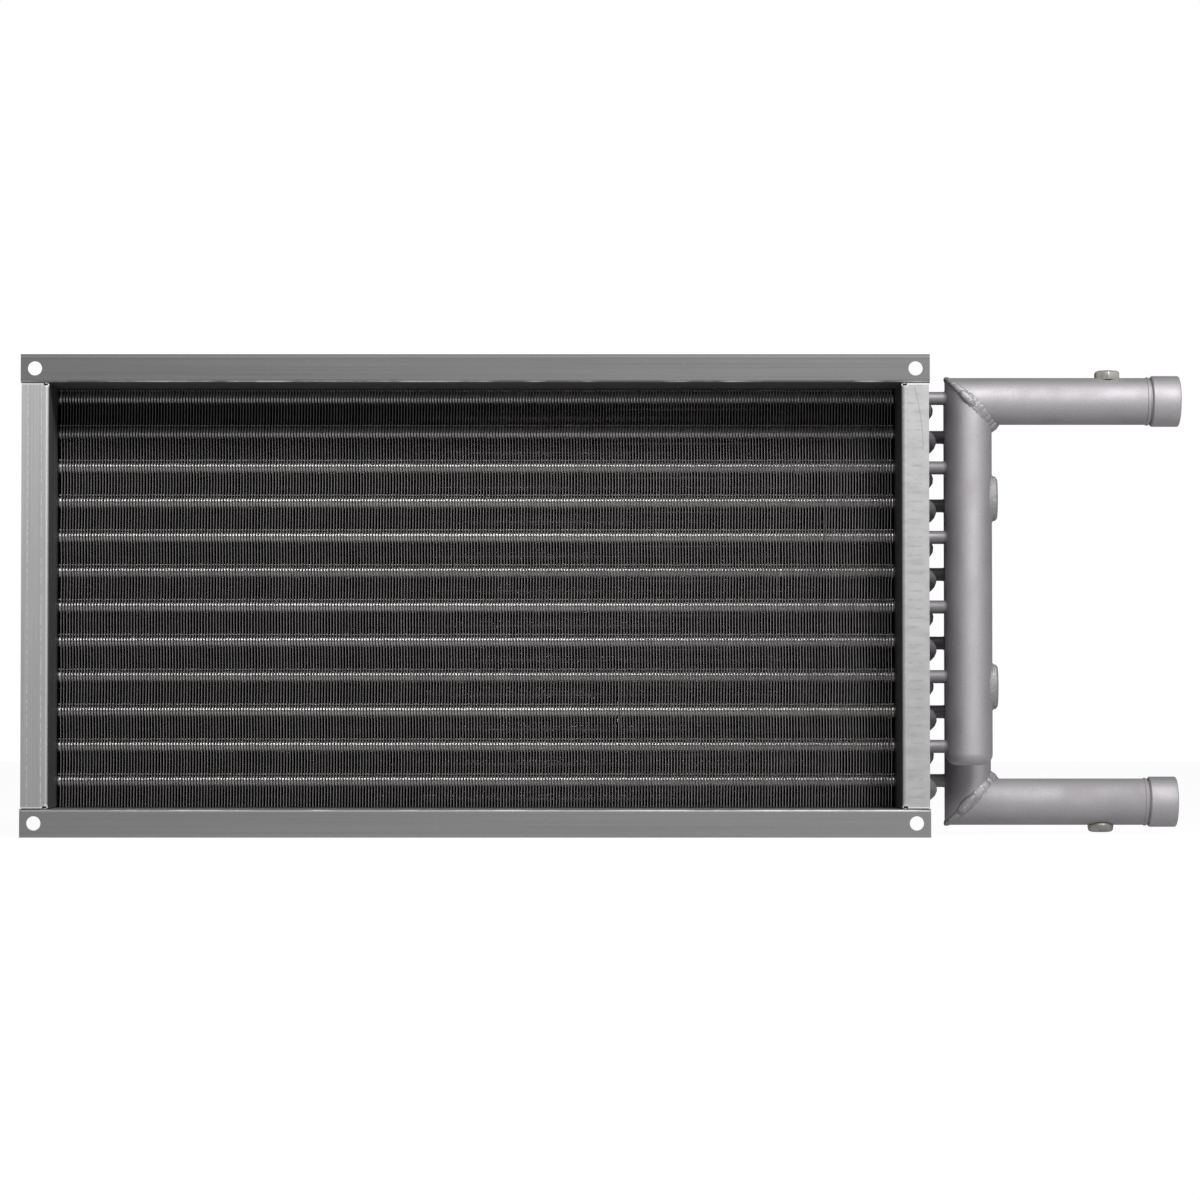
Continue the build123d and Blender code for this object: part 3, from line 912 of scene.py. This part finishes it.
def threadCap(name, node, faceX, depth, height, slit):
    length, radius, edge, faceEdge = nozzle["cap"], cap["radius"], cap["edge"], cap["faceEdge"]
    start = (faceX - length, depth, height)
    slitEnd = cap["slitFrom"] + cap["slitLong"]
    piece = startRing(name, cap["bore"], start, (1, 0, 0), pipe["sides"])
    turnProfile(start, (1, 0, 0), (
        (0, cap["bore"]), (0, radius - edge), (edge, radius), (cap["slitFrom"], radius), (slitEnd, radius),
        (length - edge, radius), (length - faceEdge, radius - faceEdge), (length, radius - edge),
        (length, cap["faceRing"]), (length - cap["faceSink"], cap["faceFlat"])))
    if slit:  # a short slot pressed into the faces that look straight up
        pickWhere(piece, "faces", lambda spot, facing: facing.z > cap["slitUp"]
                  and cap["slitFrom"] < spot.x - start[0] < slitEnd)
        bpy.ops.mesh.inset(thickness=cap["slitBorder"] * mm, depth=0)
        pull(0, 0, -cap["slitDeep"])
    finishPiece(piece, capSilver, (node,), smooth=35)


threadCap("upper_cap", "upper_thread_cap", pipe["upperFace"], pipe["frontY"], pipe["upperZ"], True)
threadCap("lower_cap", "lower_thread_cap", pipe["lowerFace"], pipe["rearY"], pipe["lowerZ"], False)
print("caps made")

# vent plug on the upper nozzle, drain plug under the lower one

plug = {
    "seat": 15.6, "hexagon": 6, "round": 24, "bevel": 0.9, "bevelSteps": 3, "stain": (0.42, 0.37, 0.2, 1.0),
    "ventProfile": (
        (0, 9.4), (0.9, 9.6), (1.3, 9.81), (4.6, 9.81), (5.7, 9.1), (6.25, 7.9), (6.45, 6.0), (6.45, 4.2)),
    "drainProfile": (
        (0, 8.8), (0.9, 9.0), (1.0, 9.45), (3.4, 9.3), (4.9, 8.8), (5.7, 7.9), (6.15, 6.0), (6.15, 3.4)),
}


def plugMetal(name, level, warm, seat, facing):
    # bare metal with pits, stained yellow at its foot; seat is the foot's height
    material, paint = newPaint(name, Metallic=0.6)
    pits = paint.noise(900.0, 3.0)
    cloud = paint.noise(160.0, 3.0)
    colour = paint.mix(paint.ramp(cloud, 0.35, 0.65), grey(level - 22, 2, -3), grey(level + 14, 1, -2))
    colour = paint.mix(paint.ramp(pits, 0.58, 0.7, 0.0, 0.7), colour, grey(level - 60, 3, -4))
    rise = (paint.axis("Z") - seat) * facing
    stain = paint.ramp(rise + cloud * 2.0, 1.4, 2.6, 1.0, 0.0)
    colour = paint.mix(stain * warm, colour, plug["stain"])
    paint.feed("Base Color", colour)
    paint.feed("Roughness", paint.ramp(pits, 0.3, 0.7, 0.32, 0.55))
    paint.bump(pits, 0.4, 0.2)
    return material


def plugHead(name, node, sides, centre, facing, profile, material):
    low, high = [Vector(corner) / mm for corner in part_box(node)]
    start = ((low.x + high.x) / 2, centre[0], centre[1] + facing * plug["seat"])
    tip = high.z if facing > 0 else low.z
    scale = abs(tip - start[2]) / profile[-1][0]  # the head ends just where the solid does
    profile = [(distance * scale, radius) for distance, radius in profile]
    piece = startRing(name, profile[0][1], start, (0, 0, facing), sides)
    turnProfile(start, (0, 0, facing), profile)
    if sides == plug["hexagon"]:  # its corners are worn round
        bpy.ops.mesh.select_mode(type="EDGE")
        bpy.ops.mesh.select_all(action="DESELECT")
        mesh = bmesh.from_edit_mesh(piece.data)
        for edge in mesh.edges:
            along = (edge.verts[1].co - edge.verts[0].co).normalized()
            edge.select = abs(along.z) > 0.3
        bmesh.update_edit_mesh(piece.data)
        bpy.ops.mesh.bevel(offset=plug["bevel"] * mm, segments=plug["bevelSteps"], affect="EDGES")
        bpy.ops.mesh.select_mode(type="VERT")
    finishPiece(piece, material, (node,), smooth=35)


ventMetal = plugMetal("vent_plug_metal", 206, 0.4, pipe["upperZ"] + pipe["radius"], 1)
drainMetal = plugMetal("drain_plug_metal", 172, 0.12, pipe["lowerZ"] - pipe["radius"], -1)
plugHead("vent_plug_head", "vent_plug", plug["hexagon"], (pipe["frontY"], pipe["upperZ"]), 1,
         plug["ventProfile"], ventMetal)
plugHead("drain_plug_head", "drain_plug", plug["round"], (pipe["rearY"], pipe["lowerZ"]), -1,
         plug["drainProfile"], drainMetal)
print("plugs made")

# camera, lamps, floor and world

view = {"place": (0.035, -2.922, -0.0945), "tilt": 91.79, "lens": 124.8, "sensor": 36, "shift": 0.0625}

clearSelection()
bpy.ops.object.camera_add(location=view["place"], rotation=(math.radians(view["tilt"]), 0, 0))
camera = bpy.context.object
camera.data.lens = view["lens"]
camera.data.sensor_width = view["sensor"]
camera.data.shift_x = view["shift"]
bpy.context.scene.camera = camera

lamps = {
    "key": {"place": (1.15, -2.0, 1.7), "size": 0.9, "deep": 0.8, "watts": 59},
    "strip": {"place": (0.0, -1.85, 1.6), "size": 1.3, "deep": 0.65, "watts": 16},
}
lampTarget = Vector((0.05, 0.06, 0))
for name, lamp in lamps.items():
    aim = (lampTarget - Vector(lamp["place"])).to_track_quat("-Z", "Y").to_euler()
    bpy.ops.object.light_add(type="AREA", location=lamp["place"], rotation=aim)
    light = bpy.context.object
    light.name = name + "_lamp"
    light.data.shape = "RECTANGLE"
    light.data.size = lamp["size"]
    light.data.size_y = lamp["deep"]
    light.data.energy = lamp["watts"]

stage = {
    "place": (0, 1.0, -0.17), "size": 12.0, "colour": (0.38, 0.38, 0.38, 1), "roughness": 0.9,
    # how much of the floor's white glow the camera sees, its strength, and how much of it is mirrored
    "shown": 0.86, "glow": 1.12, "mirrored": 0.3,
    "sky": 0.03, "skyMirrored": 0.05,  # the sky's light, and what is mirrored on top of it
}

bpy.ops.mesh.primitive_plane_add(size=stage["size"], location=stage["place"])
floor = bpy.context.object
floor.name = "floor"
bpy.ops.object.transform_apply(location=True, rotation=True, scale=True)
floorLook = {"Roughness": stage["roughness"], "Base Color": stage["colour"]}
floorFinish, floorPaint = newPaint("floor_paint", **floorLook)
seen = floorPaint.node("ShaderNodeLightPath", out="Is Camera Ray")
mirrored = floorPaint.node("ShaderNodeLightPath", out="Is Glossy Ray")
glow = floorPaint.node("ShaderNodeEmission", None, {"Color": (1, 1, 1, 1), "Strength": stage["glow"]})
plain = Sock(floorPaint, floorPaint.shader.outputs[0])
share = seen * stage["shown"] + mirrored * stage["mirrored"]
lit = floorPaint.node("ShaderNodeMixShader", None, {0: share, 1: plain, 2: glow})
floorPaint.tree.links.new(lit.socket, floorPaint.tree.nodes["Material Output"].inputs[0])
floor.data.materials.append(floorFinish)

world = bpy.data.worlds.new("studio")
bpy.context.scene.world = world
world.use_nodes = True
world.cycles.sampling_method = "NONE"  # its faint even light needs no rays of its own
sky = Paint(world.node_tree, world.node_tree.nodes["Background"])
seen = sky.node("ShaderNodeLightPath", out="Is Camera Ray")
mirrored = sky.node("ShaderNodeLightPath", out="Is Glossy Ray")
skyLevel = seen * (1 - stage["sky"]) + mirrored * stage["skyMirrored"] + stage["sky"]
sky.feed("Color", sky.mix(skyLevel, (0, 0, 0, 1), (1, 1, 1, 1)))
bpy.context.scene.view_settings.view_transform = "Standard"
print("stage set")
